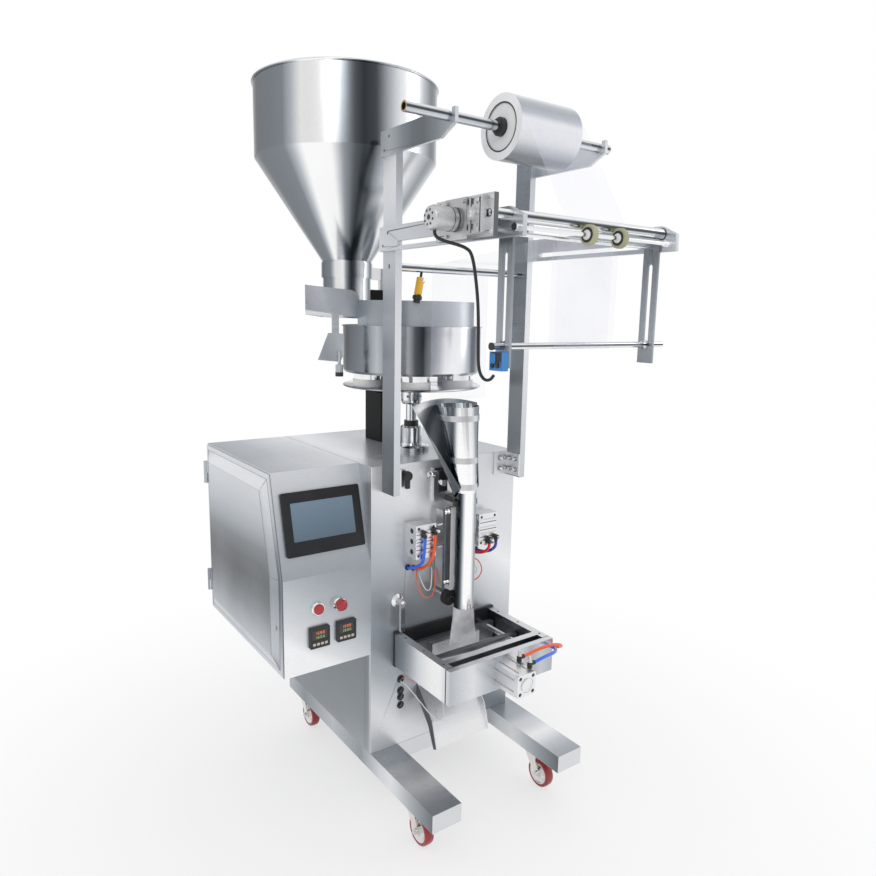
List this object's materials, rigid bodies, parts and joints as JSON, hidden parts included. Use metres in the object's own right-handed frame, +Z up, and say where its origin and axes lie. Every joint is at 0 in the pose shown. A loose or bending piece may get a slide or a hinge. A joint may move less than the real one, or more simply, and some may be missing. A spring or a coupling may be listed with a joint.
{
  "type": "measuring cup packaging machine",
  "caption": "Upright filling and sealing machine: hopper over a turntable of measuring cups, film reel on masts, forming tube, sealing jaws, side control box, casters.",
  "frame": {"origin": "middle of the footprint's bounding box at floor level", "axes": "+Z up, -Y towards the operator's side with the jaw box, +X to the right seen from the front"},
  "size_m": [0.7172, 0.9874, 1.784],
  "materials": {
    "stainless_sheet": "brushed stainless sheet",
    "satin_plate": "satin machined plate",
    "polished_steel": "polished stainless",
    "tool_steel": "ground steel",
    "zinc_steel": "zinc plated pressings",
    "red_tyre": "dark red polyurethane on a zinc hub",
    "cast_aluminium": "cast and extruded aluminium",
    "black_plastic": "black plastic",
    "bright_rings": "bright metal",
    "red_plastic": "red plastic",
    "clear_film": "clear film",
    "white_film": "wound film",
    "olive_rubber": "olive rubber collars on a bright rod",
    "black_rubber": "black rubber on steel spindles",
    "black_paint": "satin black paint",
    "sensor_plastic": "orange and blue sensor housings",
    "hose_blue": "blue and orange hose",
    "wire_sleeve": "white and pale red sleeve"
  },
  "bodies": {
    "machine": {"base_frame": "stainless_sheet", "cabinet_shell": "stainless_sheet", "front_plate": "satin_plate", "control_box": "stainless_sheet", "touch_screen": "black_plastic", "controllers": "black_plastic", "button_rings": "bright_rings", "masts": "satin_plate", "reel_arms": "satin_plate", "roller_arms": "satin_plate", "hanging_bars": "satin_plate", "guide_bar": "polished_steel", "gear_motor": "cast_aluminium", "gearbox": "cast_aluminium", "hopper": "stainless_sheet", "hopper_clamp": "stainless_sheet", "hopper_column": "black_paint", "feed_trough": "stainless_sheet", "shaft_housing": "satin_plate", "forming_tube": "polished_steel", "forming_collar": "stainless_sheet", "former_holder": "stainless_sheet", "sealer_cylinders": "cast_aluminium", "jaw_frame": "satin_plate", "jaw_cylinder": "cast_aluminium", "air_fittings": "black_plastic", "chute": "stainless_sheet", "photo_sensors": "sensor_plastic", "film_web": "clear_film", "air_hoses": "hose_blue", "heater_wires": "wire_sleeve", "motor_cable": "black_plastic"},
    "rear_door": {"rear_door": "stainless_sheet"},
    "side_door": {"side_door": "stainless_sheet"},
    "start_button": {"start_button": "red_plastic"},
    "stop_button": {"stop_button": "red_plastic"},
    "reel": {"reel_shaft": "polished_steel", "film_roll": "white_film"},
    "drive_roller": {"drive_roller": "polished_steel"},
    "collar_rod": {"collar_rod": "olive_rubber"},
    "dancer": {"dancer_rod": "polished_steel"},
    "turntable": {"pan": "stainless_sheet", "measuring_cups": "polished_steel", "drive_shaft": "polished_steel"},
    "lower_disc": {"lower_disc": "satin_plate"},
    "seal_bar_left": {"seal_bar_left": "tool_steel"},
    "seal_bar_right": {"seal_bar_right": "tool_steel"},
    "pull_wheel_left": {"pull_wheel_left": "black_rubber"},
    "pull_wheel_right": {"pull_wheel_right": "black_rubber"},
    "jaw_rear": {"jaw_rear": "tool_steel"},
    "jaw_front": {"jaw_front": "tool_steel"},
    "support_lever": {"support_lever": "polished_steel"},
    "fork_fl": {"fork_fl": "zinc_steel"},
    "wheel_fl": {"wheel_fl": "red_tyre"},
    "fork_fr": {"fork_fr": "zinc_steel"},
    "wheel_fr": {"wheel_fr": "red_tyre"},
    "fork_rl": {"fork_rl": "zinc_steel"},
    "wheel_rl": {"wheel_rl": "red_tyre"},
    "fork_rr": {"fork_rr": "zinc_steel"},
    "wheel_rr": {"wheel_rr": "red_tyre"}
  },
  "joints": [
    {"name": "caster_swivel_fl", "type": "hinge", "parent": "machine", "child": "fork_fl", "pos_m": [-0.08135, -0.15725, 0.09], "axis": [0, 0, 1], "continuous": true},
    {"name": "wheel_spin_fl", "type": "hinge", "parent": "fork_fl", "child": "wheel_fl", "pos_m": [-0.08135, -0.18525, 0.0375], "axis": [1, 0, 0], "continuous": true},
    {"name": "caster_swivel_fr", "type": "hinge", "parent": "machine", "child": "fork_fr", "pos_m": [0.30365, -0.15725, 0.09], "axis": [0, 0, 1], "continuous": true},
    {"name": "wheel_spin_fr", "type": "hinge", "parent": "fork_fr", "child": "wheel_fr", "pos_m": [0.30365, -0.18525, 0.0375], "axis": [1, 0, 0], "continuous": true},
    {"name": "caster_swivel_rl", "type": "hinge", "parent": "machine", "child": "fork_rl", "pos_m": [-0.08135, 0.44375, 0.09], "axis": [0, 0, 1], "continuous": true},
    {"name": "wheel_spin_rl", "type": "hinge", "parent": "fork_rl", "child": "wheel_rl", "pos_m": [-0.08135, 0.41575, 0.0375], "axis": [1, 0, 0], "continuous": true},
    {"name": "caster_swivel_rr", "type": "hinge", "parent": "machine", "child": "fork_rr", "pos_m": [0.30365, 0.44375, 0.09], "axis": [0, 0, 1], "continuous": true},
    {"name": "wheel_spin_rr", "type": "hinge", "parent": "fork_rr", "child": "wheel_rr", "pos_m": [0.30365, 0.41575, 0.0375], "axis": [1, 0, 0], "continuous": true},
    {"name": "rear_door_hinge", "type": "hinge", "parent": "machine", "child": "rear_door", "pos_m": [0.32765, 0.48675, 0.52], "axis": [0, 0, -1], "range_deg": [0, 110]},
    {"name": "side_door_hinge", "type": "hinge", "parent": "machine", "child": "side_door", "pos_m": [-0.35035, 0.48775, 0.65], "axis": [0, 0, -1], "range_deg": [0, 110]},
    {"name": "start_button_push", "type": "slide", "parent": "machine", "child": "start_button", "axis": [0, 1, 0], "range_m": [0, 0.004], "stiffness_N_per_m": 400},
    {"name": "stop_button_push", "type": "slide", "parent": "machine", "child": "stop_button", "axis": [0, 1, 0], "range_m": [0, 0.004], "stiffness_N_per_m": 400},
    {"name": "film_reel_spin", "type": "hinge", "parent": "machine", "child": "reel", "pos_m": [-0.12135, -0.26525, 1.61], "axis": [1, 0, 0], "continuous": true},
    {"name": "drive_roller_spin", "type": "hinge", "parent": "machine", "child": "drive_roller", "pos_m": [-0.12135, -0.45325, 1.41], "axis": [1, 0, 0], "continuous": true},
    {"name": "collar_rod_spin", "type": "hinge", "parent": "machine", "child": "collar_rod", "pos_m": [-0.12135, -0.47475, 1.3885], "axis": [1, 0, 0], "continuous": true},
    {"name": "dancer_rise", "type": "slide", "parent": "machine", "child": "dancer", "axis": [0, 0, 1], "range_m": [0, 0.16]},
    {"name": "turntable_spin", "type": "hinge", "parent": "machine", "child": "turntable", "pos_m": [0.08565, 0.13475, 1.092], "axis": [0, 0, 1], "continuous": true},
    {"name": "dose_adjust", "type": "slide", "parent": "turntable", "child": "lower_disc", "axis": [0, 0, 1], "range_m": [-0.006, 0.006]},
    {"name": "seal_bar_left_press", "type": "slide", "parent": "machine", "child": "seal_bar_left", "axis": [1, 0, 0], "range_m": [0, 0.012]},
    {"name": "seal_bar_right_press", "type": "slide", "parent": "machine", "child": "seal_bar_right", "axis": [1, 0, 0], "range_m": [-0.012, 0]},
    {"name": "pull_wheel_left_spin", "type": "hinge", "parent": "machine", "child": "pull_wheel_left", "pos_m": [0.07955, -0.05525, 0.536], "axis": [0, 1, 0], "continuous": true},
    {"name": "pull_wheel_right_spin", "type": "hinge", "parent": "machine", "child": "pull_wheel_right", "pos_m": [0.12175, -0.05525, 0.536], "axis": [0, 1, 0], "continuous": true},
    {"name": "jaw_rear_close", "type": "slide", "parent": "machine", "child": "jaw_rear", "axis": [0, -1, 0], "range_m": [0, 0.024]},
    {"name": "jaw_front_close", "type": "slide", "parent": "machine", "child": "jaw_front", "axis": [0, 1, 0], "range_m": [0, 0.024]},
    {"name": "lever_turn", "type": "hinge", "parent": "machine", "child": "support_lever", "pos_m": [-0.04835, -0.01325, 0.542], "axis": [0, 1, 0], "range_deg": [0, 90]}
  ],
  "couplings": [
    {"joint": "seal_bar_right_press", "follows": "seal_bar_left_press", "ratio": -1},
    {"joint": "pull_wheel_right_spin", "follows": "pull_wheel_left_spin", "ratio": -1},
    {"joint": "jaw_front_close", "follows": "jaw_rear_close", "ratio": 1},
    {"joint": "collar_rod_spin", "follows": "drive_roller_spin", "ratio": -0.5684}
  ]
}
